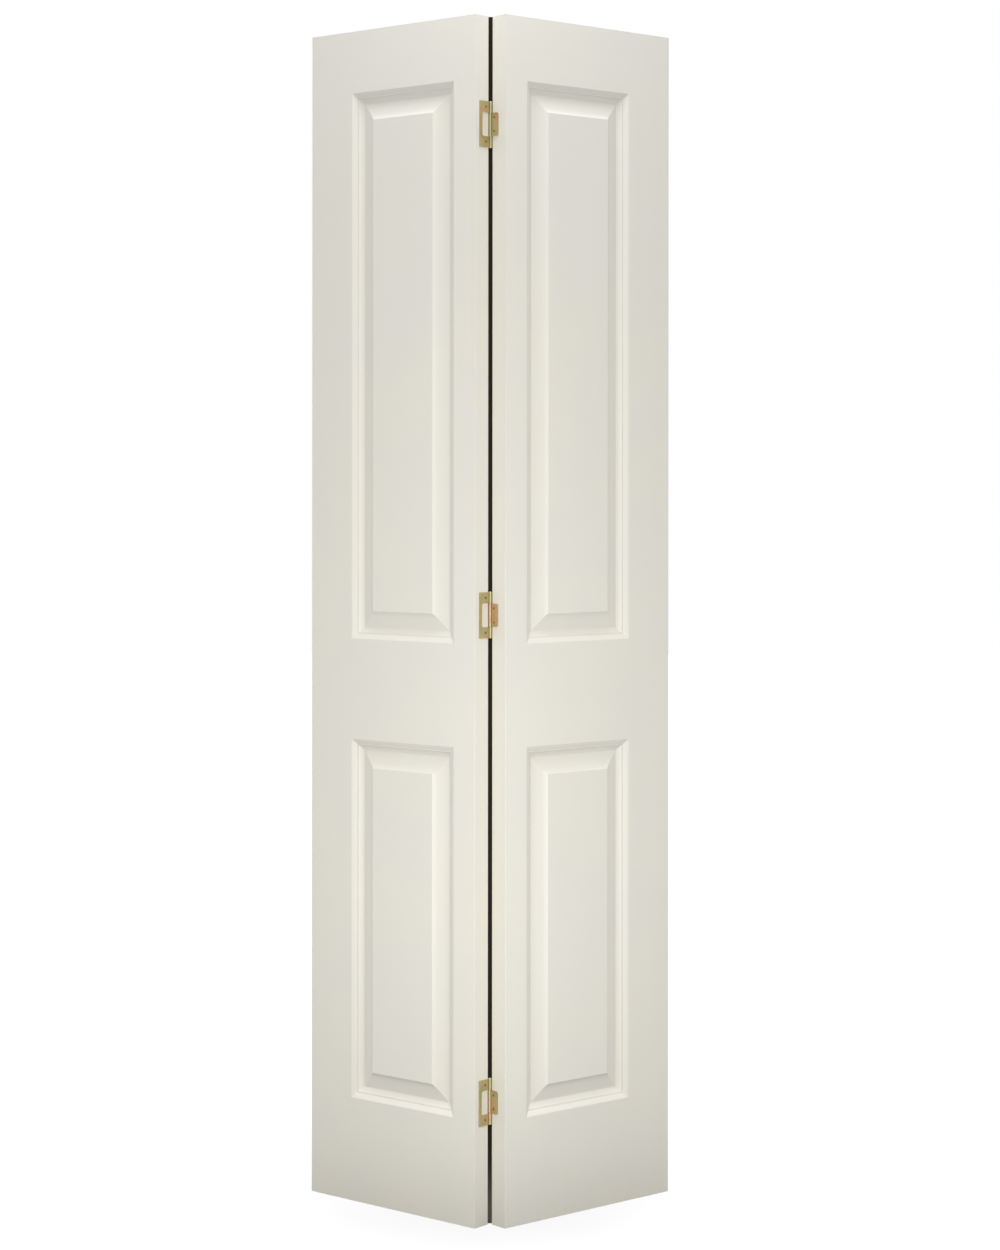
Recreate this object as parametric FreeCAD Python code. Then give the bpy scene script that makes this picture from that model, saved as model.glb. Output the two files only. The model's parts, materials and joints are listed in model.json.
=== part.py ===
import FreeCAD, Part
import math
import os

# Bifold closet door: two hollow-core moulded leaves joined at their meeting edges by three
# non-mortise hinges. It stands half folded, both leaves swung back by the same angle, as a
# bifold stands while it is being opened.
#
# Frame: millimetres, +Z up. The room looks at the front faces along +Y. The origin is on the
# floor, in the middle of the box round the half-folded door. The hinge pins share one
# vertical axis in the plane x = 0.
#
# A leaf is drawn unfolded: u runs from the meeting edge out to the jamb or latch edge, v runs
# from the front face back through the thickness, z runs up from the bottom edge.

# ---- leaves -------------------------------------------------------------------------------
leaf_width = 373.0            # one leaf of a door for a 30 in opening
leaf_height = 2007.0          # 79 in, for an 80 in opening
leaf_thickness = 35.0         # 1 3/8 in
fold_angle = 40.2             # degrees that each leaf is swung back from the closed plane
skin_thickness = 3.2          # moulded hardboard facing
arris = 0.8                   # chamfer along the upright corners of the facings

outer_stile_width = 32.0
meeting_stile_width = 28.0
top_rail_height = 50.0
bottom_rail_height = 60.0
mid_rail_height = 110.0       # solid block behind the knob position

# ---- moulded panels -----------------------------------------------------------------------
meeting_margin = 46.0         # flat facing between the meeting edge and the mouldings
outer_margin = 95.0           # the same at the outer edge
top_margin = 106.0
bottom_margin = 177.0
lock_margin = 172.0           # between the upper and the lower panel
lower_opening_height = 616.0

ovolo_width = 8.2             # round-over that leads down from the face
ovolo_drop = 5.4
ovolo_bulge = 0.4             # how far the round-over stands proud of its chord
quirk_width = 2.0             # narrow ledge between the round-over and the cove
quirk_drop = 0.3
cove_width = 8.2
cove_drop = 6.3
cove_bulge = 0.75             # how deep the cove is hollowed below its chord
valley_radius = 3.2           # turns the cove into the rise
rise_slope = 17.0             # degrees, the bevel of the raised panel
rise_width = 18.4
step_width = 9.5              # hollow that steepens up to the edge of the raised field
field_depth = 0.9             # raised field, just below the face

# ---- paper core ---------------------------------------------------------------------------
core_wall = 1.2
core_fold_pitch = 92.0        # one full zigzag of the ribbon
core_end_gap = 4.0            # core to the start of the moulding

# ---- hinges -------------------------------------------------------------------------------
hinge_height = 76.2           # 3 in
plate_thickness = 1.5
plate_gap = 1.0               # plate face to the other leaf's edge when closed
pin_radius = 1.25
pin_clearance = 0.05
pin_proud = 0.5               # each end of the pin past the knuckles
bend_radius = 0.75            # inner radius of the swage between plate and knuckle
roll_angle = 310.0            # how far the plate is rolled round the pin
knuckle_clearance = 0.25      # knuckle to the back corners of the leaves
plate_reach = 24.0            # frame plate, from the back face towards the front
window_height = 40.0
window_strip = 6.0            # metal left in front of the window
nest_side_gap = 0.8           # small plate to the frame plate, above and below
nest_end_gap = 2.0            # and in front
plate_corner = 4.0            # rounded corners of the window and of the small plate
frame_screw_spacing = 58.0
frame_screw_inset = 9.0       # from the back face
small_screw_spacing = 23.0
small_screw_inset = 6.8
top_hinge_drop = 179.0        # top of the leaf to the middle of the top hinge
bottom_hinge_rise = 204.0     # bottom of the leaf to the middle of the bottom hinge
middle_hinge_below = 3.3      # middle hinge, below halfway between the other two

# ---- screws -------------------------------------------------------------------------------
screw_radius = 1.75           # number 6
screw_length = 16.0
screw_head_radius = 3.0
screw_head_proud = 0.4        # the cone of the head seats on the rim of a punched hole
screw_hole_clearance = 0.03

# ---- bores for the pivots and the guide -----------------------------------------------------
pivot_bore_radius = 5.56      # 7/16 in
pivot_bore_depth = 38.0
pivot_bore_inset = 22.0       # from the outer edge of the leaf

# ---- worked out -----------------------------------------------------------------------------
half_gap = (plate_thickness + plate_gap) / 2
bore_radius = pin_radius + pin_clearance
knuckle_radius = bore_radius + plate_thickness
knuckle_mid_radius = (bore_radius + knuckle_radius) / 2
plate_back_x = -half_gap
plate_front_x = plate_back_x + plate_thickness
plate_mid_x = (plate_back_x + plate_front_x) / 2
bend_mid_radius = bend_radius + plate_thickness / 2
bend_centre_x = plate_mid_x - bend_mid_radius
bend_centre_y = -math.sqrt((knuckle_mid_radius + bend_mid_radius) ** 2 - bend_centre_x ** 2)
pin_setback = max(knuckle_radius, -bend_centre_y) + knuckle_clearance
small_plate_height = window_height - 2 * nest_side_gap
small_plate_reach = plate_reach - window_strip - nest_end_gap

frame_thickness = leaf_thickness - 2 * skin_thickness
opening_width = leaf_width - meeting_margin - outer_margin
lower_opening_z = bottom_margin
upper_opening_z = bottom_margin + lower_opening_height + lock_margin
upper_opening_height = leaf_height - top_margin - upper_opening_z
mid_rail_z = bottom_margin + lower_opening_height + (lock_margin - mid_rail_height) / 2
screw_hole_radius = screw_head_radius - screw_head_proud + screw_hole_clearance

top_hinge_z = leaf_height - top_hinge_drop
bottom_hinge_z = bottom_hinge_rise
hinge_levels = {
    "top": top_hinge_z,
    "middle": (top_hinge_z + bottom_hinge_z) / 2 - middle_hinge_below,
    "bottom": bottom_hinge_z,
}

fold = math.radians(fold_angle)
nearest_y = half_gap * math.sin(fold) - (pin_setback + leaf_thickness) * math.cos(fold)
farthest_y = (half_gap + leaf_width) * math.sin(fold) - pin_setback * math.cos(fold)
pin_y = -(nearest_y + farthest_y) / 2

ORIGIN = FreeCAD.Vector(0, 0, 0)
X_AXIS = FreeCAD.Vector(1, 0, 0)
Y_AXIS = FreeCAD.Vector(0, 1, 0)
Z_AXIS = FreeCAD.Vector(0, 0, 1)


def point(x, y, z=0.0):
    return FreeCAD.Vector(x, y, z)


def on_circle(centre, radius, degrees):
    angle = math.radians(degrees)
    return centre + point(radius * math.cos(angle), radius * math.sin(angle))


def arc(centre, radius, start, end):
    """Arc in the XY plane from start to end, in degrees, either way round."""
    middle = on_circle(centre, radius, (start + end) / 2)
    return Part.Arc(on_circle(centre, radius, start), middle, on_circle(centre, radius, end)).toShape()


def bulged(start, end, bulge):
    """Arc from start to end that stands off its chord by bulge, to the left of the way it runs."""
    chord = end - start
    left = point(-chord.y, chord.x).normalize()
    return Part.Arc(start, (start + end) * 0.5 + left * bulge, end).toShape()


def line(start, end):
    return Part.makeLine(start, end)


def leaf_box(u, v, z, size_u, size_v, size_z):
    """Box of the left leaf before folding: u runs towards -X from the meeting edge."""
    corner = point(-half_gap - u - size_u, v - pin_setback - leaf_thickness, z)
    return Part.makeBox(size_u, size_v, size_z, corner)


# ---- facings --------------------------------------------------------------------------------
def moulding_outline():
    """Outer surface of the moulding, as edges in (distance in from the opening, depth)."""
    ovolo_end = point(ovolo_width, ovolo_drop)
    cove_start = ovolo_end + point(quirk_width, quirk_drop)
    cove = point(cove_width, cove_drop)
    cove_end = cove_start + cove
    slope = math.radians(rise_slope)
    fall = math.atan2(cove_drop, cove_width) - 2 * math.atan(2 * cove_bulge / cove.Length)
    valley = point(math.sin(fall) + math.sin(slope), math.cos(slope) - math.cos(fall))
    rise_start = cove_end + valley * valley_radius
    valley_bulge = valley_radius * (1 - math.cos((fall + slope) / 2))
    rise_end = rise_start + point(rise_width, -rise_width * math.tan(slope))
    field = point(rise_end.x + step_width, field_depth)
    step = field - rise_end
    step_turn = 2 * (math.atan2(-step.y, step.x) - slope)
    step_bulge = step.Length / 2 * math.tan(step_turn / 4)
    return [
        (point(0, 0), ovolo_end, -ovolo_bulge),
        (ovolo_end, cove_start, 0.0),
        (cove_start, cove_end, cove_bulge),
        (cove_end, rise_start, valley_bulge),
        (rise_start, rise_end, 0.0),
        (rise_end, field, step_bulge),
    ]


def moulding_width():
    return moulding_outline()[-1][1].x


def moulding_section():
    """Section of the moulding in the plane x = 0: the outer surface, and one skin further back."""
    through = point(0, skin_thickness)
    outline = moulding_outline()
    edges = []
    for start, end, bulge in outline:
        for shift in (ORIGIN, through):
            a, b = start + shift, end + shift
            edges.append(bulged(a, b, bulge) if bulge else line(a, b))
    first, last = outline[0][0], outline[-1][1]
    edges += [line(first, first + through), line(last, last + through)]
    section = Part.Face(Part.Wire(Part.__sortEdges__(edges)))
    section.rotate(ORIGIN, Y_AXIS, -90)
    return section


def moulding_side(length):
    """One mitred length of the moulding: it runs along +X from the origin, inwards is +Z, depth +Y."""
    inset = moulding_width()
    run = moulding_section().extrude(X_AXIS * length)
    mitre = Part.Face(Part.makePolygon([point(0, 0), point(length, 0), point(length - inset, 0, inset),
                                        point(inset, 0, inset), point(0, 0)]))
    return run.common(mitre.extrude(Y_AXIS * leaf_thickness))


def moulded_pan(opening_z, opening_height):
    """Mitred moulding round one opening, and the raised field inside it."""
    low_x = -half_gap - meeting_margin - opening_width
    face_y = -pin_setback - leaf_thickness
    middle = point(low_x + opening_width / 2, face_y, opening_z + opening_height / 2)
    lower = moulding_side(opening_width)
    lower.translate(point(low_x, face_y, opening_z))
    upright = moulding_side(opening_height)
    upright.rotate(ORIGIN, Y_AXIS, 90)
    upright.translate(point(low_x, face_y, opening_z + opening_height))
    inset = moulding_width()
    field = leaf_box(meeting_margin + inset, field_depth, opening_z + inset,
                     opening_width - 2 * inset, skin_thickness, opening_height - 2 * inset)
    return [lower, lower.mirror(middle, Z_AXIS), upright, upright.mirror(middle, X_AXIS), field]


def front_facing():
    skin = leaf_box(0, 0, 0, leaf_width, skin_thickness, leaf_height)
    face_y = -pin_setback - leaf_thickness
    corners = [e for e in skin.Edges if e.BoundBox.ZLength > leaf_height / 2
               and abs(e.BoundBox.YMin - face_y) < skin_thickness / 2]
    skin = skin.makeChamfer(arris, corners)
    for opening_z, opening_height in ((lower_opening_z, lower_opening_height),
                                      (upper_opening_z, upper_opening_height)):
        hole = leaf_box(meeting_margin, -skin_thickness, opening_z,
                        opening_width, 3 * skin_thickness, opening_height)
        skin = skin.cut(hole)
        skin = skin.fuse(moulded_pan(opening_z, opening_height))
    return skin.removeSplitter()


def back_facing(front):
    """The same moulding as the front, mirrored in the middle of the leaf's thickness."""
    middle = point(0, -pin_setback - leaf_thickness / 2)
    return front.mirror(middle, Y_AXIS)


# ---- timber inside a leaf ---------------------------------------------------------------------
def pivot_bore(z, upward):
    centre = point(-half_gap - leaf_width + pivot_bore_inset, -pin_setback - leaf_thickness / 2, z)
    return Part.makeCylinder(pivot_bore_radius, pivot_bore_depth, centre, Z_AXIS * (-1 if upward else 1))


def outer_stile():
    stile = leaf_box(leaf_width - outer_stile_width, skin_thickness, 0,
                     outer_stile_width, frame_thickness, leaf_height)
    return stile.cut([pivot_bore(leaf_height, True), pivot_bore(0, False)])


def meeting_stile():
    return leaf_box(0, skin_thickness, 0, meeting_stile_width, frame_thickness, leaf_height)


def rail(z, height):
    length = leaf_width - outer_stile_width - meeting_stile_width
    return leaf_box(meeting_stile_width, skin_thickness, z, length, frame_thickness, height)


def paper_core(opening_z, opening_height):
    """Zigzag paper ribbon, set on edge, that holds the two raised fields apart."""
    inset = moulding_width() + core_end_gap
    low_u = meeting_margin + inset
    width = opening_width - 2 * inset
    depth = leaf_thickness - 2 * (field_depth + skin_thickness)
    low_z, high_z = opening_z + inset, opening_z + opening_height - inset
    folds = max(2, 2 * round((high_z - low_z) / core_fold_pitch))
    fold_height = (high_z - low_z) / folds
    wall_u = core_wall * math.hypot(width, fold_height) / fold_height
    near, far = [], []
    for fold_number in range(folds + 1):
        u = low_u + (width - wall_u) * (fold_number % 2)
        z = low_z + fold_number * fold_height
        near.append(point(-half_gap - u, 0, z))
        far.append(point(-half_gap - u - wall_u, 0, z))
    ribbon = Part.Face(Part.makePolygon(near + far[::-1] + near[:1]))
    ribbon.translate(point(0, -pin_setback - leaf_thickness + field_depth + skin_thickness))
    return ribbon.extrude(Y_AXIS * depth)


# ---- hinges -------------------------------------------------------------------------------------
def rolled_section(reach):
    """Section of a hinge plate on the left leaf's edge, swaged and rolled round the pin."""
    bend = point(bend_centre_x, bend_centre_y)
    start = math.degrees(math.atan2(bend_centre_y, bend_centre_x)) % 360
    end = start - roll_angle
    far_y = -pin_setback - reach
    back_start, front_start = point(plate_back_x, far_y), point(plate_front_x, far_y)
    back_bend, front_bend = point(plate_back_x, bend_centre_y), point(plate_front_x, bend_centre_y)
    edges = [
        line(front_start, back_start),
        line(back_start, back_bend),
        arc(bend, bend_radius, 0, start - 180),
        arc(ORIGIN, knuckle_radius, start, end),
        line(on_circle(ORIGIN, knuckle_radius, end), on_circle(ORIGIN, bore_radius, end)),
        arc(ORIGIN, bore_radius, end, start),
        arc(bend, bend_radius + plate_thickness, start - 180, 0),
        line(front_bend, front_start),
    ]
    return Part.Face(Part.Wire(edges))


def screw_places(spacing, inset, level):
    y = -pin_setback - inset
    return [(y, level - spacing / 2), (y, level + spacing / 2)]


def screw_holes(places):
    holes = []
    for y, z in places:
        start = point(plate_front_x, y, z)
        holes.append(Part.makeCylinder(screw_hole_radius, plate_thickness, start, -X_AXIS))
    return holes


def frame_plate(level):
    """Plate with a window, and a knuckle at each end."""
    plate = rolled_section(plate_reach).extrude(Z_AXIS * hinge_height)
    plate.translate(point(0, 0, level - hinge_height / 2))
    window_y = -pin_setback - plate_reach + window_strip
    window_length = knuckle_radius - window_y + plate_thickness
    across = 2 * knuckle_radius + 2 * plate_thickness
    window = Part.makeBox(across, window_length, window_height,
                          point(-across / 2, window_y, level - window_height / 2))
    corners = [e for e in window.Edges if e.BoundBox.XLength > across / 2
               and abs(e.BoundBox.YMin - window_y) < plate_corner / 2]
    window = window.makeFillet(plate_corner, corners)
    holes = screw_holes(screw_places(frame_screw_spacing, frame_screw_inset, level))
    return plate.cut([window] + holes)


def small_plate(level):
    """Plate that nests in the window, with the middle knuckle."""
    plate = rolled_section(small_plate_reach).extrude(Z_AXIS * small_plate_height)
    plate.translate(point(0, 0, level - small_plate_height / 2))
    far_y = -pin_setback - small_plate_reach
    corners = [e for e in plate.Edges if e.BoundBox.XLength > plate_thickness / 2
               and e.BoundBox.YMax < far_y + plate_corner / 2]
    plate = plate.makeFillet(plate_corner, corners)
    return plate.cut(screw_holes(screw_places(small_screw_spacing, small_screw_inset, level)))


def hinge_pin(level):
    length = hinge_height + 2 * pin_proud
    return Part.makeCylinder(pin_radius, length, point(0, 0, level - length / 2))


def screw(y, z):
    """Flat-head wood screw driven into the left leaf's edge, its threads left out."""
    top = point(plate_front_x + screw_head_proud, y, z)
    head_height = screw_head_radius - screw_radius
    head = Part.makeCone(screw_head_radius, screw_radius, head_height, top, -X_AXIS)
    shank = Part.makeCylinder(screw_radius, screw_length - head_height, top - X_AXIS * head_height, -X_AXIS)
    return head.fuse(shank)


# ---- assembly -------------------------------------------------------------------------------------
def leaf_pieces(screw_spacing, screw_inset):
    """Pieces of the left leaf before folding, by name, with the screws in its meeting edge."""
    front = front_facing()
    screws = []
    for level in hinge_levels.values():
        screws += [screw(y, z) for y, z in screw_places(screw_spacing, screw_inset, level)]
    return {
        "front_skin": front,
        "back_skin": back_facing(front),
        "outer_stile": outer_stile(),
        "meeting_stile": meeting_stile(),
        "top_rail": rail(leaf_height - top_rail_height, top_rail_height),
        "mid_rail": rail(mid_rail_z, mid_rail_height),
        "bottom_rail": rail(0, bottom_rail_height),
        "upper_core": paper_core(upper_opening_z, upper_opening_height),
        "lower_core": paper_core(lower_opening_z, lower_opening_height),
        "hinge_screws": Part.makeCompound(screws),
    }


def stand(shape, side):
    """Puts a piece drawn on the closed left leaf where it stands: side -1 is left, 1 is right."""
    if side > 0:
        shape = shape.mirror(ORIGIN, X_AXIS)
    shape.rotate(ORIGIN, Z_AXIS, side * fold_angle)
    shape.translate(Y_AXIS * pin_y)
    return shape


def door():
    """Every piece of the door by node name."""
    nodes = {}
    for name, shape in leaf_pieces(frame_screw_spacing, frame_screw_inset).items():
        nodes["left_" + name] = stand(shape, -1)
    for name, shape in leaf_pieces(small_screw_spacing, small_screw_inset).items():
        nodes["right_" + name] = stand(shape, 1)
    for place, level in hinge_levels.items():
        hinge = place + "_hinge_"
        nodes[hinge + "frame_plate"] = stand(frame_plate(level), -1)
        nodes[hinge + "small_plate"] = stand(small_plate(level), 1)
        nodes[hinge + "pin"] = stand(hinge_pin(level), -1)
    return nodes


os.makedirs("parts", exist_ok=True)
for node, shape in door().items():
    assert shape.isValid(), node
    shape.exportStep("parts/" + node + ".step")
    print(node, len(shape.Solids), round(shape.Volume), len(shape.Faces))
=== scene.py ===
import json
import math
import bmesh
import bpy
from mathutils import Matrix, Vector


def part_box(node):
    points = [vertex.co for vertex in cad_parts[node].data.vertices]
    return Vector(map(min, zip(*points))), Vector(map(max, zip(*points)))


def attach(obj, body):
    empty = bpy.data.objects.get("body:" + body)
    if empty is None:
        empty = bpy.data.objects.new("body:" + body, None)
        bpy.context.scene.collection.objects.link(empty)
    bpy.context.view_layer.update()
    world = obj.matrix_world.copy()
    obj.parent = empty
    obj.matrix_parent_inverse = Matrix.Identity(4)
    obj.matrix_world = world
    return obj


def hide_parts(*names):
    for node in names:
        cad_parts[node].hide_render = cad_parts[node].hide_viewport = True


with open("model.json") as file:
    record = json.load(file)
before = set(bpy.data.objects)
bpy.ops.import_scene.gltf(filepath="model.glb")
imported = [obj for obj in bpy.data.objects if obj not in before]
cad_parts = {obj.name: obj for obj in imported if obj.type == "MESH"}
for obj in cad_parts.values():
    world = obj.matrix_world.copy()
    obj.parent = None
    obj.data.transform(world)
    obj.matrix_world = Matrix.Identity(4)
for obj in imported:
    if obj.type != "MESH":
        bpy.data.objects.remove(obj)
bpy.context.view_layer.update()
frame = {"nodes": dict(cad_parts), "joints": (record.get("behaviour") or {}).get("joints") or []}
print("frame loaded:", len(frame["nodes"]), "nodes")

mm = 0.001
onePoint = 0.001 * mm                                     # points nearer than this are welded
hinge = frame["joints"][0]
pinPlace = Vector(hinge["pos_m"][:2] + [0.0])
foldAngle = math.radians(-hinge["range_deg"][0] / 2)      # each leaf, back from the closed plane
sideOf = {"left": -1, "right": 1}


# places
def unfolded(side):                                       # frame to the closed right-hand leaf
    return Matrix.Diagonal((side, 1, 1, 1)) @ Matrix.Rotation(-side * foldAngle, 4, "Z") \
        @ Matrix.Translation(-pinPlace)


def extent(node, side):                                   # a node's box on the closed leaf
    turn = unfolded(side)
    places = [turn @ vertex.co for vertex in frame["nodes"][node].data.vertices]
    return [min(p[i] for p in places) for i in range(3)], [max(p[i] for p in places) for i in range(3)]


faceLow, faceHigh = extent("right_front_skin", 1)
leaf = {
    "start": faceLow[0],                                  # half the gap between the meeting edges
    "width": faceHigh[0] - faceLow[0],
    "height": faceHigh[2],
    "front": faceLow[1],
    "back": extent("right_back_skin", 1)[1][1],
    "skin": 3.2 * mm,
    "edgeRound": 1.28 * mm,
    "endRound": 0.3 * mm,
    "roundSteps": 6,
    "edgePaintedShade": 0.28,                                     # painted shade on the rounded corners, 0 to 1
    "bareEnd": 0.35 * mm,                                 # unpainted, at the top and the foot
    "creaseAngle": math.radians(16),
    "flatArea": 2e-3,                                     # m2, broader faces keep crisp edges
    "seam": 0.01 * mm,                                    # facing and pans are welded within this
}
openings = {
    "meetingMargin": 46 * mm, "outerMargin": 95 * mm, "bottomMargin": 177 * mm,
    "lowerHeight": 616 * mm, "lockMargin": 172 * mm, "topMargin": 106 * mm,
}
moulding = {                                              # millimetres, in from the opening
    "ovolo": (8.2, 5.4, 0.4),                             # width, drop, bulge
    "quirk": (2.0, 0.3),
    "cove": (8.2, 6.3, 0.75),
    "valleyRadius": 3.2,
    "riseSlope": math.radians(17),
    "riseWidth": 18.4,
    "stepWidth": 9.5,
    "fieldDepth": 0.9,
    "arcStep": math.radians(3),
    "valley": 12.4,                                       # deepest line
    "shadeLineHalf": 0.2,                                      # either side of the painted shade line
}


# graphs of nodes
class Wire:
    def __init__(self, graph, socket):
        self.graph, self.socket = graph, socket

    def out(self, name):
        return Wire(self.graph, self.socket.node.outputs[name])

    def __add__(self, other):
        return self.graph.maths("ADD", self, other)

    def __sub__(self, other):
        return self.graph.maths("SUBTRACT", self, other)

    def __rsub__(self, other):
        return self.graph.maths("SUBTRACT", other, self)

    def __mul__(self, other):
        return self.graph.maths("MULTIPLY", self, other)

    def __truediv__(self, other):
        return self.graph.maths("DIVIDE", self, other)

    def __mod__(self, other):
        return self.graph.maths("FLOORED_MODULO", self, other)

    def __gt__(self, other):
        return self.graph.maths("GREATER_THAN", self, other)

    def __lt__(self, other):
        return self.graph.maths("LESS_THAN", self, other)

    def __abs__(self):
        return self.graph.maths("ABSOLUTE", self)

    __radd__, __rmul__ = __add__, __mul__


class Graph:
    def __init__(self, tree):
        self.tree = tree

    def node(self, kind, settings=None, inputs=None, output=0):
        made = self.tree.nodes.new(kind)
        for name, value in (settings or {}).items():
            if name == "stops":
                ramp = made.color_ramp
                for stop, (place, colour) in enumerate(value):
                    point = ramp.elements[stop] if stop < 2 else ramp.elements.new(place)
                    point.position, point.color = place, (*colour, 1)
            else:
                setattr(made, name, value)
        for name, value in (inputs or {}).items():
            if isinstance(value, Wire):
                self.tree.links.new(value.socket, made.inputs[name])
            else:
                made.inputs[name].default_value = value
        return Wire(self, made.outputs[output]) if len(made.outputs) else None

    def maths(self, operation, *values):
        return self.node("ShaderNodeMath", {"operation": operation}, dict(enumerate(values)))

    def soft(self, value, low, high):                     # 0 below low, 1 above high
        return self.node("ShaderNodeMapRange", {"interpolation_type": "SMOOTHSTEP"},
                         {"Value": value, "From Min": low, "From Max": high})

    def blend(self, factor, first, second):               # of two colours
        return self.node("ShaderNodeMix", {"data_type": "RGBA"}, {0: factor, 6: first, 7: second}, 2)

    def part(self, vector, axis):                         # one number of a vector
        return self.node("ShaderNodeSeparateXYZ", None, {0: vector}, axis)

    def attribute(self, name):
        return self.node("ShaderNodeAttribute", {"attribute_name": name}, None, "Fac")

    def noise(self, place, scale, detail=2.0, roughness=0.5):
        return self.node("ShaderNodeTexNoise", None,
                         {"Vector": place, "Scale": scale, "Detail": detail, "Roughness": roughness})

    def drift(self, place, least, more, noise):           # a strength that wanders over the surface
        return least + more * self.noise(place, *noise)

    def stretched(self, place, scale, turn=0.0):          # coordinates scaled unevenly
        return self.node("ShaderNodeMapping", None,
                         {"Vector": place, "Scale": scale, "Rotation": (0, 0, turn)})

    def bump(self, height, distance, strength, under=None):
        inputs = {"Height": height, "Distance": distance, "Strength": strength}
        if under:
            inputs["Normal"] = under
        return self.node("ShaderNodeBump", None, inputs)


def surface(name):                                        # a material and its graph
    material = bpy.data.materials.new(name)
    material.use_nodes = True
    material.node_tree.nodes.clear()
    return material, Graph(material.node_tree)


def finished(graph, inputs):
    shader = graph.node("ShaderNodeBsdfPrincipled", None, inputs)
    graph.node("ShaderNodeOutputMaterial", None, {"Surface": shader})


def objectPlace(graph):
    return graph.node("ShaderNodeTexCoord", None, None, "Object")


# finishes: a noise is (scale, detail, roughness), a range is where an effect starts and is full, and
# a drift is (least, what the noise adds, noise)
primer = {
    "colour": (0.811, 0.784, 0.694, 1), "cool": (0.786, 0.771, 0.714, 1),
    "mottle": 0.5, "mottleNoise": (5.0, 3.0), "mottleRange": (0.35, 0.65),
    "paintedCoolLight": 0.45, "paintedCoolLightRange": (1.3, 2.0),          # painted cool light towards the top, metres above the floor
    "dustAndShade": (0.66, 0.62, 0.53, 1),
    "specks": 0.10, "speckNoise": (260.0, 2.0, 0.6), "speckRange": (0.66, 0.74),
    # dust in the hollows, with painted shade that deepens with the recess
    "hollowDustAndShade": 0.16, "hollowDustAndShadeDrift": (0.35, 0.65, (34.0, 3.0)), "hollowDustAndShadeRange": (0.55, 1.0),
    "scuffAndShadeLine": (0.52, 0.50, 0.45, 1), "lineDrift": (0.35, 0.45, (26.0, 2.0)),
    "scuffs": 0.12, "scuffStretch": (12, 12, 30), "scuffNoise": (4.0, 5.0, 0.7), "scuffRange": (0.52, 0.78),
    # painted shade, warm, darker towards the foot
    "paintedFootShade": (0.54, 0.44, 0.26, 1), "paintedFootShadeDrift": (0.02, 0.11, (6.0,)), "footRange": (0.0, 0.13),
    "roughness": 0.42, "roughnessDrift": 0.14, "roughnessNoise": (21.0, 3.0),
    "stipple": 0.55, "stippleDepth": 0.035 * mm, "stippleNoise": (950, 2.0, 0.55),
    "waves": 0.10, "waveDepth": 0.25 * mm, "waveNoise": (55.0, 2.0),
}
board = {
    "dark": (0.17, 0.105, 0.06, 1), "light": (0.30, 0.20, 0.12, 1), "bare": 0.92, "rougher": 0.3,
    "fibreStretch": (1, 1, 4), "fibreNoise": (900.0, 4.0, 0.7),
}
pine = {
    "early": (0.62, 0.45, 0.27, 1), "late": (0.40, 0.25, 0.12, 1), "ringWidth": 3.2 * mm,
    "lengthwise": (1, 1, 0.03), "wander": 6.0, "wanderNoise": (9.0, 3.0), "lateRange": (0.45, 0.95),
    "pores": 0.35, "poreStretch": (1500, 1500, 60), "poreNoise": (1.0, 3.0, 0.6), "poreRange": (0.5, 0.8),
    "grain": 0.35, "grainDepth": 0.05 * mm, "grainStretch": (700, 700, 12), "grainNoise": (1.0, 3.0, 0.6),
    "overspray": 0.5, "oversprayNoise": (70.0, 4.0, 0.65), "oversprayRange": (0.56, 0.62),
    "rougher": 0.22, "lateRougher": 0.08,
}
paper = {
    "dark": (0.33, 0.22, 0.12, 1), "light": (0.45, 0.32, 0.19, 1), "roughness": 0.8, "roughnessDrift": 0.1,
    "fibreStretch": (300, 300, 60), "fibreNoise": (1.0, 4.0, 0.7), "fibreRange": (0.35, 0.7),
    "flutes": 0.5, "fluteDepth": 0.1 * mm, "fluteWave": 1800.0,
}
zinc = {
    "olive": (0.45, 0.45, 0.24), "copper": (0.62, 0.385, 0.235), "gold": (0.58, 0.475, 0.235),
    "oliveAt": 0.36, "copperAt": 0.62, "goldAt": 0.47,    # along the drift of tint
    "goldMove": 0.1, "driftMove": 0.24,                   # with a piece's share of copper
    "patchDetail": 3.0, "patchRoughness": 0.6,
    "worn": (0.64, 0.60, 0.50, 1), "wear": 0.35, "wearNoise": (420.0, 4.0, 0.65), "wearRange": (0.58, 0.72),
    # rim darkens the bare cut edges; recess is painted shade in the screw recesses
    "dark": (0.075, 0.05, 0.03, 1), "darkShare": {"rim": 0.6, "recess": 0.95},
    "rolling": 0.3, "rollingDepth": 0.03 * mm,
    "rollingStretch": (1, 1, 26), "rollingNoise": (260.0, 3.0, 0.6),
    "pits": 0.5, "pitDepth": 0.012 * mm, "pitNoise": (2600.0, 2.0),
    "roughness": 0.33, "rollingRougher": 0.20, "wearRougher": 0.08, "darkRougher": 0.15,
    "metallic": 0.92, "wearDuller": 0.1, "darkDuller": 0.4,
}
pinSteel = {
    "dark": (0.66, 0.63, 0.54, 1), "light": (0.80, 0.78, 0.72, 1), "tintNoise": (180.0, 3.0),
    "turning": 0.4, "turningDepth": 0.01 * mm, "turningStretch": (60, 60, 2600), "turningNoise": (1.0, 3.0),
    "roughness": 0.26, "turningRougher": 0.16, "metallic": 0.95,
}


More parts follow.
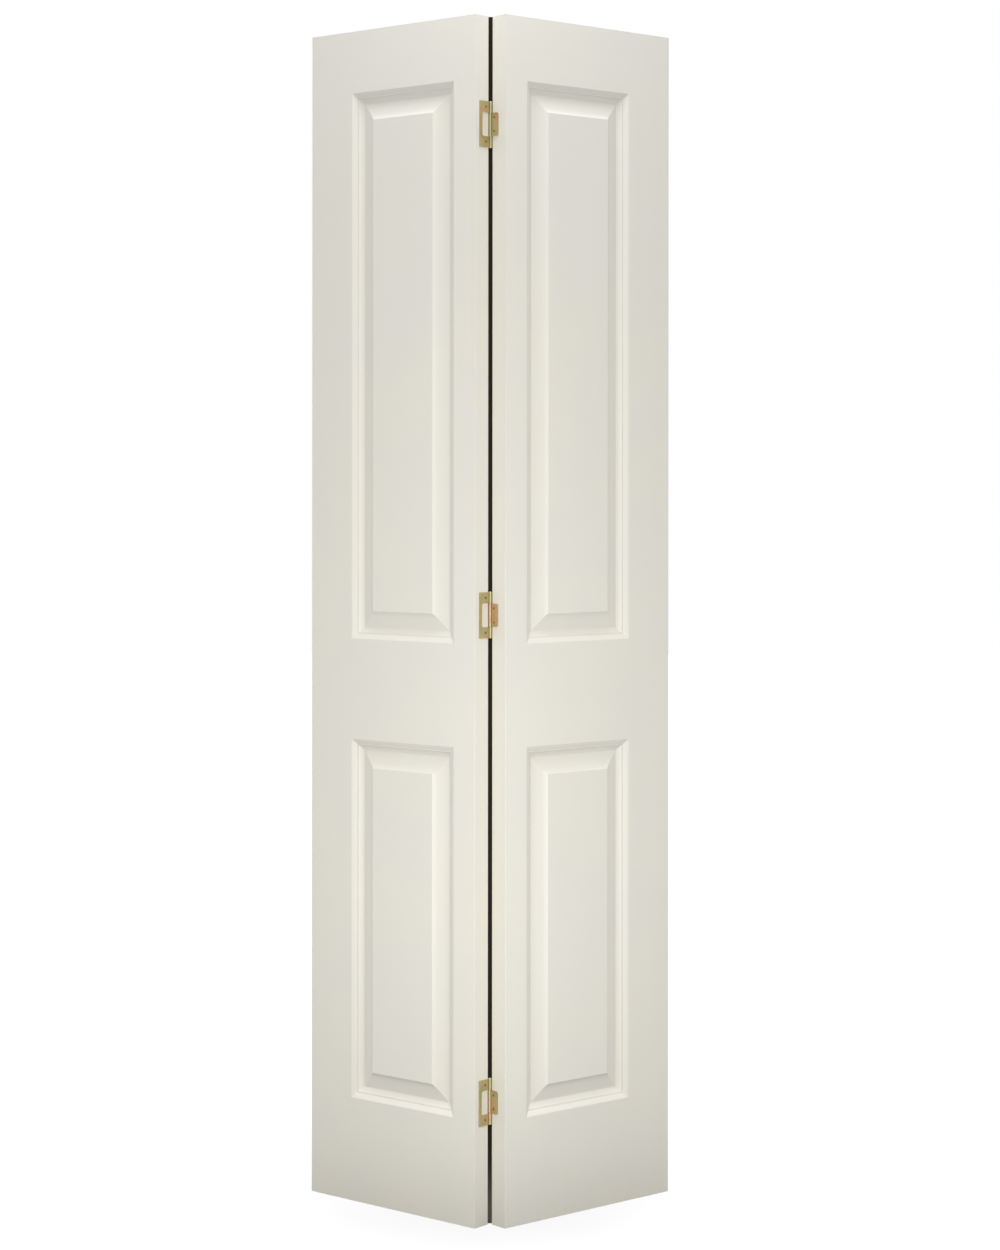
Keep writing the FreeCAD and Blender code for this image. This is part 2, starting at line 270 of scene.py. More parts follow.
def primerColour(graph, place, recess=None, crease=None):
    height = graph.part(place, "Z")                       # mottled, specked and scuffed, with painted cool light towards the top and painted shade at the foot
    mottle = graph.soft(graph.noise(place, *primer["mottleNoise"]), *primer["mottleRange"])
    # painted cool light, stronger towards the top
    cool = primer["mottle"] * mottle + primer["paintedCoolLight"] * graph.soft(height, *primer["paintedCoolLightRange"])
    colour = graph.blend(cool, primer["colour"], primer["cool"])
    speck = graph.soft(graph.noise(place, *primer["speckNoise"]), *primer["speckRange"])
    colour = graph.blend(speck * primer["specks"], colour, primer["dustAndShade"])
    if recess:                                            # a film of dust in the hollows, deepened into painted shade
        hollowDustAndShade = graph.soft(recess, *primer["hollowDustAndShadeRange"]) * graph.drift(place, *primer["hollowDustAndShadeDrift"])
        colour = graph.blend(hollowDustAndShade * primer["hollowDustAndShade"], colour, primer["dustAndShade"])
    if crease:                                            # painted shade: thin darker lines in the quirk and on the rounded corners
        line = crease * graph.drift(place, *primer["lineDrift"])
        colour = graph.blend(line, colour, primer["scuffAndShadeLine"])
    foot = 1 - graph.soft(height, *primer["footRange"])
    # painted shade: warmer and darker towards the foot
    colour = graph.blend(foot * graph.drift(place, *primer["paintedFootShadeDrift"]), colour, primer["paintedFootShade"])
    streak = graph.noise(graph.stretched(place, primer["scuffStretch"]), *primer["scuffNoise"])
    scuffs = graph.soft(streak, *primer["scuffRange"]) * foot
    return graph.blend(scuffs * primer["scuffs"], colour, primer["scuffAndShadeLine"]), height


def stipple(graph, place):                                # roller texture over broad, shallow waves
    fine = graph.noise(place, *primer["stippleNoise"])
    broad = graph.noise(place, *primer["waveNoise"])
    waves = graph.bump(broad, primer["waveDepth"], primer["waves"])
    return graph.bump(fine, primer["stippleDepth"], primer["stipple"], waves)


def primerRoughness(graph, place):
    drift = graph.noise(place, *primer["roughnessNoise"]) - 0.5
    return primer["roughness"] + primer["roughnessDrift"] * drift


def bareEnds(height):                                     # 1 on the sawn ends of a leaf
    return (height < leaf["bareEnd"]) + (height > leaf["height"] - leaf["bareEnd"])


def primedFacing():
    material, graph = surface("primedFacing")
    place = objectPlace(graph)
    colour, height = primerColour(graph, place, graph.attribute("recess"), graph.attribute("crease"))
    end = bareEnds(height)
    fibres = graph.noise(graph.stretched(place, board["fibreStretch"]), *board["fibreNoise"])
    bare = graph.blend(fibres, board["dark"], board["light"])
    colour = graph.blend(end * board["bare"], colour, bare)
    roughness = primerRoughness(graph, place) + end * board["rougher"]
    finished(graph, {"Base Color": colour, "Roughness": roughness, "Normal": stipple(graph, place)})
    return material


def pineColour(graph, place, turn):                       # growth rings, and pores along the grain
    across = graph.stretched(place, pine["lengthwise"], turn)
    wander = graph.noise(across, *pine["wanderNoise"])
    ring = graph.maths("FRACT", graph.part(across, "X") / pine["ringWidth"] + wander * pine["wander"])
    late = graph.soft(ring, *pine["lateRange"])
    pores = graph.noise(graph.stretched(place, pine["poreStretch"], turn), *pine["poreNoise"])
    colour = graph.blend(late, pine["early"], pine["late"])
    return graph.blend(graph.soft(pores, *pine["poreRange"]) * pine["pores"], colour, pine["late"]), late


def primedPine(side):                                     # stiles and rails: primed edges, bare ends
    material, graph = surface("primedPine" + side.title())
    place = objectPlace(graph)
    colour, height = primerColour(graph, place)
    bare, late = pineColour(graph, place, -sideOf[side] * foldAngle)
    end = bareEnds(height)
    overspray = graph.soft(graph.noise(place, *pine["oversprayNoise"]), *pine["oversprayRange"])
    colour = graph.blend(end * (1 - overspray * pine["overspray"]), colour, bare)
    grain = graph.noise(graph.stretched(place, pine["grainStretch"]), *pine["grainNoise"])
    normal = graph.bump(grain, pine["grainDepth"], pine["grain"], stipple(graph, place))
    roughness = primerRoughness(graph, place) + end * (pine["rougher"] + late * pine["lateRougher"])
    finished(graph, {"Base Color": colour, "Roughness": roughness, "Normal": normal})
    return material


def kraftPaper():
    material, graph = surface("kraftPaper")
    place = objectPlace(graph)
    fibre = graph.noise(graph.stretched(place, paper["fibreStretch"]), *paper["fibreNoise"])
    flute = graph.maths("SINE", graph.part(place, "Y") * paper["fluteWave"])
    colour = graph.blend(graph.soft(fibre, *paper["fibreRange"]), paper["dark"], paper["light"])
    roughness = paper["roughness"] + paper["roughnessDrift"] * fibre
    finished(graph, {"Base Color": colour, "Roughness": roughness,
                     "Normal": graph.bump(flute, paper["fluteDepth"], paper["flutes"])})
    return material


def yellowZinc(name, copperShare, patchScale, dark):
    material, graph = surface(name)                       # passivated steel, darker where dark says: bare cut edges, and painted shade in screw recesses
    place = objectPlace(graph)
    dull = graph.attribute(dark)
    drift = graph.noise(place, patchScale, zinc["patchDetail"], zinc["patchRoughness"])
    tint = graph.node("ShaderNodeValToRGB", {"stops": [
        (zinc["oliveAt"], zinc["olive"]), (zinc["copperAt"], zinc["copper"]),
        (zinc["goldAt"] + zinc["goldMove"] * copperShare, zinc["gold"])]},
        {"Fac": drift + (copperShare - 0.5) * zinc["driftMove"]})
    rolled = graph.noise(graph.stretched(place, zinc["rollingStretch"]), *zinc["rollingNoise"])
    rub = graph.soft(graph.noise(place, *zinc["wearNoise"]), *zinc["wearRange"])
    colour = graph.blend(rub * zinc["wear"], tint, zinc["worn"])
    colour = graph.blend(dull * zinc["darkShare"][dark], colour, zinc["dark"])
    roughness = zinc["roughness"] + zinc["rollingRougher"] * (rolled - 0.5)
    roughness = roughness + rub * zinc["wearRougher"] + dull * zinc["darkRougher"]
    metallic = zinc["metallic"] - rub * zinc["wearDuller"] - dull * zinc["darkDuller"]
    pits = graph.noise(place, *zinc["pitNoise"])
    rolling = graph.bump(rolled, zinc["rollingDepth"], zinc["rolling"])
    finished(graph, {"Base Color": colour, "Roughness": roughness, "Metallic": metallic,
                     "Normal": graph.bump(pits, zinc["pitDepth"], zinc["pits"], rolling)})
    return material


def brightPin():
    material, graph = surface("brightPin")
    place = objectPlace(graph)
    turned = graph.noise(graph.stretched(place, pinSteel["turningStretch"]), *pinSteel["turningNoise"])
    colour = graph.blend(graph.noise(place, *pinSteel["tintNoise"]), pinSteel["dark"], pinSteel["light"])
    roughness = pinSteel["roughness"] + pinSteel["turningRougher"] * turned
    finished(graph, {"Base Color": colour, "Metallic": pinSteel["metallic"], "Roughness": roughness,
                     "Normal": graph.bump(turned, pinSteel["turningDepth"], pinSteel["turning"])})
    return material


finishes = {
    "facing": primedFacing(), "left": primedPine("left"), "right": primedPine("right"),
    "paper": kraftPaper(), "pin": brightPin(),
    "framePlate": yellowZinc("yellowZincFrame", copperShare=0.42, patchScale=62.0, dark="rim"),
    "smallPlate": yellowZinc("yellowZincSmall", copperShare=0.70, patchScale=48.0, dark="rim"),
    "screw": yellowZinc("yellowZincScrew", copperShare=0.55, patchScale=120.0, dark="recess"),
}
print("finishes made:", len(finishes))


# meshes
def newObject(name, mesh):
    made = bpy.data.objects.new(name, mesh)
    bpy.context.scene.collection.objects.link(made)
    return made


def meshed(body, name):                                   # a bmesh as an object
    mesh = bpy.data.meshes.new(name)
    body.to_mesh(mesh)
    body.free()
    return newObject(name, mesh)


def plain(thing):                                         # its modifiers' result as its own mesh
    graph = bpy.context.evaluated_depsgraph_get()
    result = bpy.data.meshes.new_from_object(thing.evaluated_get(graph))
    thing.modifiers.clear()
    thing.data = result
    return thing


squareOn = 0.9999                                         # cosine of two directions that agree


def dressed(thing, sharpAngle, broad=None, flatAcross=None):
    body = bmesh.new()                                    # outward faces, smooth but for creases and flats
    body.from_mesh(thing.data)
    bmesh.ops.remove_doubles(body, verts=body.verts, dist=onePoint)
    bmesh.ops.recalc_face_normals(body, faces=body.faces)
    for face in body.faces:
        face.smooth = not (flatAcross and abs(face.normal.dot(flatAcross)) > squareOn)
    for edge in body.edges:
        beside = [face.calc_area() for face in edge.link_faces]
        if edge.calc_face_angle(0) > sharpAngle or (broad and max(beside) > broad):
            edge.smooth = False
    body.to_mesh(thing.data)
    body.free()
    return thing


def stood(thing, side):                                   # from the closed right-hand leaf to its place
    thing.data.transform(unfolded(side).inverted())
    if side < 0:
        thing.data.flip_normals()
    thing.data.update()
    return thing


def setInputs(modifier, values):
    for item in modifier.node_group.interface.items_tree:
        if item.item_type == "SOCKET" and item.in_out == "INPUT" and item.name in values:
            modifier[item.identifier] = values[item.name]


def newTree(name, inputs):                                # inputs: name and kind of each socket
    tree = bpy.data.node_groups.new(name, "GeometryNodeTree")
    tree.interface.new_socket("Geometry", in_out="OUTPUT", socket_type="NodeSocketGeometry")
    for label, kind in inputs:
        tree.interface.new_socket(label, in_out="INPUT", socket_type="NodeSocket" + kind)
    graph = Graph(tree)
    return graph, graph.node("NodeGroupInput")


def closedTree(graph, geometry, finish):                  # real meshes in one finish
    real = graph.node("GeometryNodeRealizeInstances", None, {"Geometry": geometry})
    painted = graph.node("GeometryNodeSetMaterial", None, {"Geometry": real, "Material": finish})
    graph.node("NodeGroupOutput", None, {"Geometry": painted})
    return graph.tree


def stored(graph, geometry, kind, domain, name, value):   # a named attribute on the geometry
    return graph.node("GeometryNodeStoreNamedAttribute", {"data_type": kind, "domain": domain},
                      {"Geometry": geometry, "Name": name, "Value": value})


def placeAt(graph, geometry, index):                      # where one of its points is
    position = graph.node("GeometryNodeInputPosition")
    return graph.node("GeometryNodeSampleIndex", {"data_type": "FLOAT_VECTOR", "domain": "POINT"},
                      {"Geometry": geometry, "Value": position, "Index": index})


def around(radius, turn, centre=(0, 0)):                  # a point on a circle
    return centre[0] + radius * math.cos(turn), centre[1] + radius * math.sin(turn)


def arcPoints(start, end, bulge, arcStep):                # bulge is to the left of the way it runs
    start, end = Vector(start), Vector(end)
    chord = end - start
    if not bulge:
        return [end]
    radius = chord.length ** 2 / (8 * abs(bulge)) + abs(bulge) / 2
    left = Vector((-chord.y, chord.x)).normalized() * math.copysign(1, bulge)
    centre = (start + end) / 2 - left * (radius - abs(bulge))
    first = math.atan2(start.y - centre.y, start.x - centre.x)
    turn = -math.copysign(2 * math.asin(chord.length / (2 * radius)), bulge)
    steps = max(2, math.ceil(abs(turn) / arcStep))
    angles = [first + turn * k / steps for k in range(1, steps + 1)]
    return [centre + radius * Vector((math.cos(angle), math.sin(angle))) for angle in angles]


def mouldingProfile():                                    # (in from the opening, depth), in metres
    ovoloWidth, ovoloDepth, ovoloBulge = moulding["ovolo"]
    coveWidth, coveDrop, coveBulge = moulding["cove"]
    ovoloEnd = Vector((ovoloWidth, ovoloDepth))
    coveStart = ovoloEnd + Vector(moulding["quirk"])
    cove = Vector((coveWidth, coveDrop))
    coveEnd = coveStart + cove
    fall = math.atan2(cove.y, cove.x) - 2 * math.atan(2 * coveBulge / cove.length)
    slope, radius = moulding["riseSlope"], moulding["valleyRadius"]
    valley = Vector((math.sin(fall) + math.sin(slope), math.cos(slope) - math.cos(fall)))
    riseStart = coveEnd + radius * valley
    riseEnd = riseStart + moulding["riseWidth"] * Vector((1, -math.tan(slope)))
    field = Vector((riseEnd.x + moulding["stepWidth"], moulding["fieldDepth"]))
    step = field - riseEnd
    stepTurn = 2 * (math.atan2(-step.y, step.x) - slope)
    quirkMiddle = (ovoloEnd + coveStart) / 2              # keeps the painted shade line narrow
    runs = (
        ((0, 0), ovoloEnd, -ovoloBulge), (ovoloEnd, quirkMiddle, 0), (quirkMiddle, coveStart, 0),
        (coveStart, coveEnd, coveBulge),
        (coveEnd, riseStart, radius * (1 - math.cos((fall + slope) / 2))),
        (riseStart, riseEnd, 0), (riseEnd, field, step.length / 2 * math.tan(stepTurn / 4)),
    )
    points = [Vector((0, 0))]
    for start, end, bulge in runs:
        points += arcPoints(start, end, bulge, moulding["arcStep"])
    mesh = bpy.data.meshes.new("mouldingProfile")
    mesh.from_pydata([(p.x * mm, p.y * mm, 0) for p in points],
                     [(k, k + 1) for k in range(len(points) - 1)], [])
    return newObject("mouldingProfile", mesh)


def mitredPan():                                          # four mitred lengths of profile, and the field
    graph, given = newTree("mitredPan", [
        ("Profile", "Object"), ("Width", "Float"), ("Height", "Float"), ("Centre", "Vector"),
        ("Shift", "Float"), ("Valley", "Float"), ("Crease", "Float")])
    profile = graph.node("GeometryNodeObjectInfo", None, {"Object": given.out("Profile")}, "Geometry")
    stations = graph.node("GeometryNodeAttributeDomainSize", {"component": "MESH"}, {"Geometry": profile},
                          "Point Count")
    corners = 5                                           # the fifth closes the ring
    sheet = graph.node("GeometryNodeMeshGrid", None,
                       {"Vertices X": stations, "Vertices Y": corners}, "Mesh")
    index = graph.node("GeometryNodeInputIndex")
    corner = index % corners
    inset = graph.part(placeAt(graph, profile, (index - corner) / corners), "X")
    depth = inset.out("Y")
    signX = 1 - 2 * (abs(corner - 1.5) > 1.0)             # corners 1 and 2 to the right
    signZ = 1 - 2 * (abs(corner - 2.5) > 1.0)             # corners 2 and 3 up
    spot = graph.node("ShaderNodeCombineXYZ", None, {
        "X": signX * (given.out("Width") / 2 - inset), "Y": depth + given.out("Shift"),
        "Z": signZ * (given.out("Height") / 2 - inset)})
    ring = graph.node("GeometryNodeSetPosition", None, {"Geometry": sheet, "Position": spot})
    ends = graph.node("GeometryNodeInputMeshEdgeVertices", None, None, "Vertex Index 1")
    mitre = abs(ends - ends.out("Vertex Index 2")) > corners - 0.5
    ring = stored(graph, ring, "BOOLEAN", "EDGE", "sharp_edge", mitre)
    ring = stored(graph, ring, "FLOAT", "POINT", "recess", depth / given.out("Valley"))
    # painted shade line along the quirk
    onShadeLine = abs(inset - given.out("Crease")) < moulding["shadeLineHalf"] * mm
    ring = stored(graph, ring, "FLOAT", "POINT", "crease", onShadeLine)
    lastInset = graph.part(placeAt(graph, profile, stations - 1), "X")
    field = graph.node("GeometryNodeMeshGrid", None, {
        "Size X": given.out("Width") - 2 * lastInset, "Size Y": given.out("Height") - 2 * lastInset,
        "Vertices X": 2, "Vertices Y": 2}, "Mesh")
    lift = graph.node("ShaderNodeCombineXYZ", None, {"Y": lastInset.out("Y") + given.out("Shift")})
    field = graph.node("GeometryNodeTransform", None,
                       {"Geometry": field, "Translation": lift, "Rotation": (math.pi / 2, 0, 0)})
    both = graph.node("GeometryNodeJoinGeometry")
    for part in (ring, field):
        graph.tree.links.new(part.socket, both.socket.node.inputs[0])
    placed = graph.node("GeometryNodeTransform", None,
                        {"Geometry": both, "Translation": given.out("Centre")})
    graph.node("NodeGroupOutput", None, {"Geometry": placed})
    return graph.tree


def mouldedFacing(pan):                                   # a flat facing with its two pans let in
    graph, given = newTree("mouldedFacing", [
        ("Facing", "Geometry"), ("Profile", "Object"), ("Pan Width", "Float"), ("Lower Height", "Float"),
        ("Upper Height", "Float"), ("Lower Centre", "Vector"), ("Upper Centre", "Vector"),
        ("Skin", "Float"), ("Valley", "Float"), ("Crease", "Float"), ("Finish", "Material")])
    everything = graph.node("GeometryNodeJoinGeometry")
    joined = everything.socket.node.inputs[0]
    graph.tree.links.new(given.out("Facing").socket, joined)
    for level in ("Lower", "Upper"):
        for shift in (0.0, given.out("Skin")):
            made = graph.node("GeometryNodeGroup", {"node_tree": pan}, {
                "Profile": given.out("Profile"), "Width": given.out("Pan Width"),
                "Height": given.out(level + " Height"), "Centre": given.out(level + " Centre"),
                "Shift": shift, "Valley": given.out("Valley"), "Crease": given.out("Crease")})
            graph.tree.links.new(made.socket, joined)
    merged = graph.node("GeometryNodeMergeByDistance", None,
                        {"Geometry": everything, "Distance": leaf["seam"]})
    return closedTree(graph, merged, given.out("Finish"))


def facingSheet(name):                                    # x from the meeting edge, y depth, z up
    columns = [0, openings["meetingMargin"], leaf["width"] - openings["outerMargin"], leaf["width"]]
    lowerTop = openings["bottomMargin"] + openings["lowerHeight"]
    rows = [0, openings["bottomMargin"], lowerTop, lowerTop + openings["lockMargin"],
            leaf["height"] - openings["topMargin"], leaf["height"]]
    holes = ((1, 1), (1, 3))
    rings = []                                            # (side inset, end inset, depth)
    for k in range(leaf["roundSteps"] + 1):
        angle = math.pi / 2 * k / leaf["roundSteps"]
        rings.append((leaf["edgeRound"] * (1 - math.sin(angle)), leaf["endRound"] * (1 - math.sin(angle)),
                      leaf["edgeRound"] * (1 - math.cos(angle))))
    rings.append((0, 0, leaf["skin"]))
    body = bmesh.new()
    shadeLineLayer = body.verts.layers.float.new("crease")
    spots = {}

    def corner(i, j, k):
        if (i, j, k) not in spots:
            sideInset, endInset, depth = rings[k]
            x = columns[i] + sideInset * ((i == 0) - (i == 3))
            z = rows[j] + endInset * ((j == 0) - (j == 5))
            spots[i, j, k] = body.verts.new((x, depth, z))
            # painted shade on the rounded corners of the sides
            spots[i, j, k][shadeLineLayer] = leaf["edgePaintedShade"] * (i in (0, 3) and 0 < k < leaf["roundSteps"])
        return spots[i, j, k]

    for k in (0, len(rings) - 1):
        for i in range(3):
            for j in range(5):
                if (i, j) not in holes:
                    body.faces.new([corner(i, j, k), corner(i + 1, j, k), corner(i + 1, j + 1, k),
                                    corner(i, j + 1, k)])
    rim = [(i, 0) for i in range(3)] + [(3, j) for j in range(5)] + [(i, 5) for i in range(3, 0, -1)] \
        + [(0, j) for j in range(5, 0, -1)]
    for here, there in zip(rim, rim[1:] + rim[:1]):
        for k in range(len(rings) - 1):
            body.faces.new([corner(*here, k), corner(*there, k),
                            corner(*there, k + 1), corner(*here, k + 1)])
    return meshed(body, name), columns, rows


def facings():
    profile = mouldingProfile()
    tree = mouldedFacing(mitredPan())
    for side, sign in sideOf.items():
        for face, depthSign, start in (("front", 1, leaf["front"]), ("back", -1, leaf["back"])):
            thing, columns, rows = facingSheet(f"{side}_{face}_facing")
            middle = (columns[1] + columns[2]) / 2
            modifier = thing.modifiers.new("moulding", "NODES")
            modifier.node_group = tree
            setInputs(modifier, {
                "Profile": profile, "Pan Width": columns[2] - columns[1], "Lower Height": rows[2] - rows[1],
                "Upper Height": rows[4] - rows[3], "Lower Centre": (middle, 0, (rows[1] + rows[2]) / 2),
                "Upper Centre": (middle, 0, (rows[3] + rows[4]) / 2), "Skin": leaf["skin"],
                "Valley": moulding["valley"] * mm, "Finish": finishes["facing"],
                "Crease": (moulding["ovolo"][0] + moulding["quirk"][0]) * mm})
            dressed(plain(thing), leaf["creaseAngle"], leaf["flatArea"])
            thing.data.transform(Matrix.Translation((leaf["start"], start, 0))
                                 @ Matrix.Diagonal((1, depthSign, 1, 1)))
            if depthSign < 0:
                thing.data.flip_normals()
            stood(thing, sign)
            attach(thing, side + "_leaf")
            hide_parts(f"{side}_{face}_skin")
    bpy.data.objects.remove(profile)


facings()
print("facings made: 4")


# hinges
plate = {
    "thickness": 1.5 * mm, "bore": 1.3 * mm, "bendInside": 0.75 * mm, "roll": math.radians(310),
    "frameReach": 24.0 * mm, "frameHeight": 76.2 * mm, "windowHeight": 40.0 * mm, "strip": 6.0 * mm,
    "smallReach": 16.0 * mm, "smallHeight": 38.4 * mm, "corner": 4.0 * mm, "outerCorner": 0.5 * mm,
    "frameHoles": (9.0 * mm, 29.0 * mm), "smallHoles": (6.8 * mm, 11.5 * mm), "holeRadius": 2.63 * mm,
    "holeSteps": 40, "edgeRound": 0.16 * mm, "roundSteps": 2, "roundAngle": math.radians(50),
    "bendStart": 0.2 * mm, "arcStep": math.radians(7), "creaseAngle": math.radians(24),
}
setback = -leaf["back"]                                   # pin to the back face of a closed leaf
plateMiddle = leaf["start"] - plate["thickness"] / 2
knuckle = plate["bore"] + plate["thickness"] / 2
bend = plate["bendInside"] + plate["thickness"] / 2
bendX = plateMiddle + bend
bendY = -math.sqrt((knuckle + bend) ** 2 - bendX ** 2)
bendTurn = math.atan2(-bendY, bendX)
levels = {place: sum((corner.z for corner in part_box(place + "_hinge_frame_plate")), 0.0) / 2
          for place in ("top", "middle", "bottom")}


def platePath(reach):                                     # lengths along the bent sheet
    straight = reach + setback + bendY
    return straight, straight + bend * bendTurn, straight + bend * bendTurn + knuckle * plate["roll"]


def bent(s, reach):                                       # distance along the sheet to x, y
    straight, bendEnd, rollEnd = platePath(reach)
    if s <= straight:
        return plateMiddle, -setback - reach + s
    if s <= bendEnd:
        return around(bend, math.pi - (s - straight) / bend, (bendX, bendY))
    return around(knuckle, -bendTurn + (s - bendEnd) / knuckle)


def roundedCorner(centre, radius, first, turn, steps=8):
    return [around(radius, first + turn * k / steps, centre) for k in range(steps + 1)]


def filledFlat(body, loops):                              # outline first, then its holes
    edges = []
    for loop in loops:
        verts = [body.verts.new((x, 0, z)) for x, z in loop]
        edges += [body.edges.new(pair) for pair in zip(verts, verts[1:] + verts[:1])]
    bmesh.ops.triangle_fill(body, use_beauty=True, edges=edges)


def circle(centre, radius, steps):
    return [around(radius, 2 * math.pi * k / steps, centre) for k in range(steps)]


def frameOutline(reach):
    end, half, window = platePath(reach)[2], plate["frameHeight"] / 2, plate["windowHeight"] / 2
    strip, big, small = plate["strip"], plate["corner"], plate["outerCorner"]
    return (roundedCorner((small, -half + small), small, math.pi, math.pi / 2, steps=4)
            + [(end, -half), (end, -window)]
            + roundedCorner((strip + big, -window + big), big, -math.pi / 2, -math.pi / 2)
            + roundedCorner((strip + big, window - big), big, math.pi, -math.pi / 2)
            + [(end, window), (end, half)]
            + roundedCorner((small, half - small), small, math.pi / 2, math.pi / 2, steps=4))


def smallOutline(reach):
    end, half, big = platePath(reach)[2], plate["smallHeight"] / 2, plate["corner"]
    return (roundedCorner((big, -half + big), big, math.pi, math.pi / 2)
            + [(end, -half), (end, half)]
            + roundedCorner((big, half - big), big, math.pi / 2, math.pi / 2))


def markRim(mesh):                                        # 1 on the cut edges of the sheet, 0 on its faces
    rim = mesh.attributes.new("rim", "FLOAT", "POINT")
    half = plate["thickness"] / 2
    for vertex, value in zip(mesh.vertices, rim.data):
        x, y = vertex.co.xy
        off = min(abs(x - plateMiddle) if y < bendY else 1, abs(math.hypot(x, y) - knuckle),
                  abs(math.hypot(x - bendX, y - bendY) - bend))
        value.value = min(1, max(0, (half - off) / plate["edgeRound"]))


def hingePlate(name, outline, reach, holes, level, finish):
    inset, rise = holes
    body = bmesh.new()
    punched = [circle((reach - inset, way * rise), plate["holeRadius"], plate["holeSteps"])
               for way in (-1, 1)]
    filledFlat(body, [outline(reach)] + punched)
    straight, bendEnd, rollEnd = platePath(reach)
    bendSteps = math.ceil(bendTurn / plate["arcStep"])
    rollSteps = math.ceil(plate["roll"] / plate["arcStep"])
    cuts = [straight - plate["bendStart"]]
    cuts += [straight + (bendEnd - straight) * k / bendSteps for k in range(bendSteps)]
    cuts += [bendEnd + (rollEnd - bendEnd) * k / rollSteps for k in range(rollSteps)]
    for cut in cuts:
        bmesh.ops.bisect_plane(body, geom=body.verts[:] + body.edges[:] + body.faces[:],
                               plane_co=(cut, 0, 0), plane_no=(1, 0, 0))
    for vertex in body.verts:
        x, y = bent(vertex.co.x, reach)
        vertex.co = (x, y, vertex.co.z + level)
    bmesh.ops.recalc_face_normals(body, faces=body.faces)
    thing = meshed(body, name)
    wall = thing.modifiers.new("wall", "SOLIDIFY")
    wall.thickness, wall.offset, wall.use_even_offset = plate["thickness"], 0, True
    soft = thing.modifiers.new("edges", "BEVEL")
    soft.width, soft.segments = plate["edgeRound"], plate["roundSteps"]
    soft.limit_method, soft.angle_limit = "ANGLE", plate["roundAngle"]
    plain(thing).data.materials.clear()
    thing.data.materials.append(finish)
    markRim(thing.data)
    return dressed(thing, plate["creaseAngle"], None, Vector((1, 0, 0)))


def hingePlates():
    kinds = (("frame_plate", "left", frameOutline, plate["frameReach"], plate["frameHoles"], "framePlate"),
             ("small_plate", "right", smallOutline, plate["smallReach"], plate["smallHoles"], "smallPlate"))
    for place, level in levels.items():
        for kind, side, outline, reach, holes, finish in kinds:
            thing = hingePlate(f"{place}_{kind}", outline, reach, holes, level, finishes[finish])
            stood(thing, sideOf[side])
            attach(thing, side + "_leaf")
            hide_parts(f"{place}_hinge_{kind}")


hingePlates()
print("hinge plates made: 6")


# screws
screw = {
    "headRadius": 3.0 * mm, "shankRadius": 1.75 * mm, "length": 16.0 * mm, "proud": 0.4 * mm,
    "rim": 0.12 * mm, "point": 3 * mm, "steps": 40, "creaseAngle": math.radians(28), "spinSeed": 7,
    "recessLength": 3.9 * mm, "recessWidth": 1.15 * mm, "recessDepth": 1.7 * mm, "recessTaper": 0.5,
    "armDepth": 0.55, "tipDepth": 1.1,                    # shares of the recess depth
    "chamfer": 0.3, "edgePaintedShade": 0.5,                      # share of the rim, and painted shade at the recess's top edge, 0 to 1
}


def lathe(body, profile, steps):                          # (radius, height) about X, height along -X
    rings = []
    for radius, height in profile:
        spots = circle((0, 0), radius, steps) if radius else [(0, 0)]
        rings.append([body.verts.new((-height, *spot)) for spot in spots])
    for here, there in zip(rings, rings[1:]):
        for k in range(steps):
            loop = [here[k % len(here)], here[(k + 1) % len(here)],
                    there[(k + 1) % len(there)], there[k % len(there)]]
            unique = [vertex for n, vertex in enumerate(loop) if vertex not in loop[:n]]
            body.faces.new(unique)
    return rings


def screwModel():                                         # head towards -X, at the origin
    body = bmesh.new()
    depth = body.verts.layers.float.new("recess")
    head, shank, rim = screw["headRadius"], screw["shankRadius"], screw["rim"]
    chamfer = rim * screw["chamfer"]
    rings = lathe(body, [(head - rim, 0), (head - chamfer, -chamfer), (head, -rim),
                         (shank, -(head - shank) - rim), (shank, -screw["length"] + screw["point"]),
                         (0, -screw["length"])], screw["steps"])
    long, wide = screw["recessLength"] / 2, screw["recessWidth"] / 2
    cross = [(wide, long), (wide, wide), (long, wide), (long, -wide), (wide, -wide), (wide, -long),
             (-wide, -long), (-wide, -wide), (-long, -wide), (-long, wide), (-wide, wide), (-wide, long)]
    top = [body.verts.new((0, y, z)) for y, z in cross]
    deep, taper = screw["recessDepth"], screw["recessTaper"]
    floor = [body.verts.new((deep * (screw["armDepth"] if max(abs(y), abs(z)) > wide else 1.0),
                             y * taper, z * taper)) for y, z in cross]
    tip = body.verts.new((deep * screw["tipDepth"], 0, 0))
    for vertex in floor + [tip]:                          # painted shade, darkest at the recess floor
        vertex[depth] = 1.0
    for vertex in top:
        vertex[depth] = screw["edgePaintedShade"]
    edges = []
    for loop in (rings[0], top):
        for pair in zip(loop, loop[1:] + loop[:1]):
            edges.append(body.edges.get(pair) or body.edges.new(pair))
    bmesh.ops.triangle_fill(body, use_beauty=True, edges=edges)
    for n in range(len(cross)):
        after = (n + 1) % len(cross)
        body.faces.new([top[n], top[after], floor[after], floor[n]])
        body.faces.new([floor[n], floor[after], tip])
    bmesh.ops.recalc_face_normals(body, faces=body.faces)
    return meshed(body, "screwModel")


def screwRow():                                           # a screw at each point, each turned its own way
    graph, given = newTree("screwRow", [
        ("Places", "Geometry"), ("Screw", "Object"), ("Spin", "Float"), ("Seed", "Int"),
        ("Finish", "Material")])
    model = graph.node("GeometryNodeObjectInfo", None, {"Object": given.out("Screw")}, "Geometry")
    spin = graph.node("FunctionNodeRandomValue", {"data_type": "FLOAT"},
                      {"Min": 0.0, "Max": given.out("Spin"), "Seed": given.out("Seed")}, "Value")
    spin = Wire(graph, spin.socket.node.outputs[1])
    turned = graph.node("ShaderNodeCombineXYZ", None, {"X": spin})
    placed = graph.node("GeometryNodeInstanceOnPoints", None,
                        {"Points": given.out("Places"), "Instance": model, "Rotation": turned})
    return closedTree(graph, placed, given.out("Finish"))


